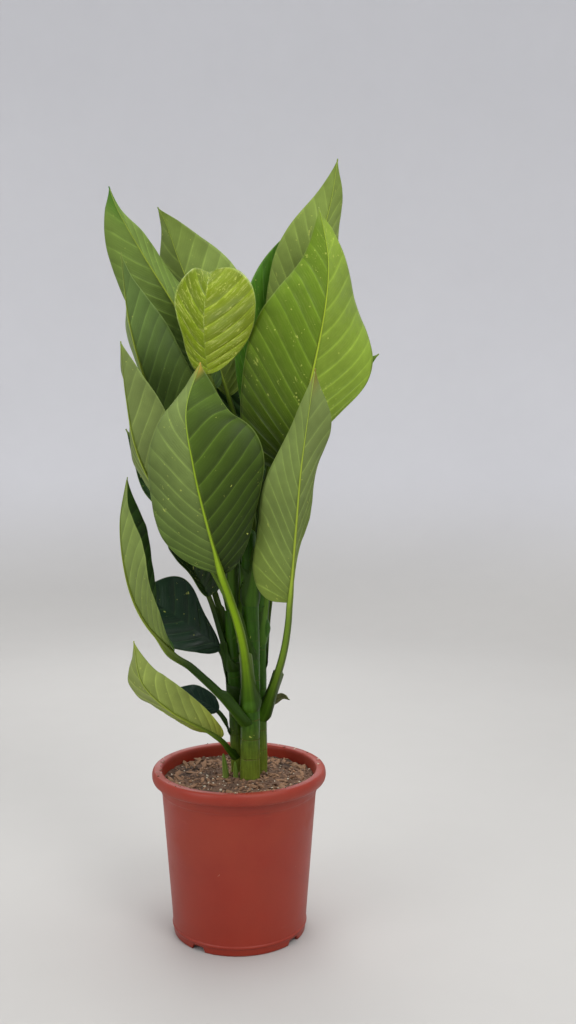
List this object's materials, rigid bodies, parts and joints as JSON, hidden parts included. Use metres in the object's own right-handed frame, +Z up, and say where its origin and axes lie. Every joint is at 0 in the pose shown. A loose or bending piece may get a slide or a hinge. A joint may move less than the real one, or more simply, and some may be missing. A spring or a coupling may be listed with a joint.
{
  "type": "potted dieffenbachia",
  "caption": "Upright foliage house plant with broad speckled leaves on thick green canes, growing in a tapered plastic nursery pot filled with soil.",
  "frame": {"origin": "on the floor under the middle of the pot, which is also the middle of the plant's own box in X and Y", "axes": "+Z up; -Y is the side the picture was taken from, with +X to the viewer's right"},
  "size_m": [0.3629, 0.2385, 1.0152],
  "materials": {
    "pot": "terracotta red moulded plastic, matte with fine scuffs",
    "soil": "moist brown peat with bark and pale grit",
    "cane": "smooth green stem, slightly glossy, with ring scars",
    "leaf": "waxy green blade with cream speckles above and a paler matte underside",
    "dry_sheath": "dried brown leaf base"
  },
  "bodies": {
    "root": {"pot": "pot", "soil": "soil", "cane_front": "cane", "cane_left": "cane", "cane_right": "cane", "shoot_left": "cane", "shoot_front": "cane", "leaf_front": "leaf", "leaf_front_right": "leaf", "leaf_right_large": "leaf", "leaf_left_low": "leaf", "leaf_bottom_left": "leaf", "leaf_dark_left": "leaf", "leaf_low_small": "leaf", "leaf_dark_inner": "leaf", "leaf_left": "leaf", "leaf_left_inner": "leaf", "leaf_upper_left": "leaf", "leaf_tall_left": "leaf", "leaf_speckled": "leaf", "leaf_top_middle": "leaf", "leaf_tallest": "leaf", "leaf_dark_right": "leaf", "leaf_right_tip": "leaf", "leaf_back_low": "leaf", "leaf_back_right": "leaf", "leaf_back_left": "leaf", "leaf_back_upper": "leaf", "old_sheath": "dry_sheath"}
  },
  "joints": []
}
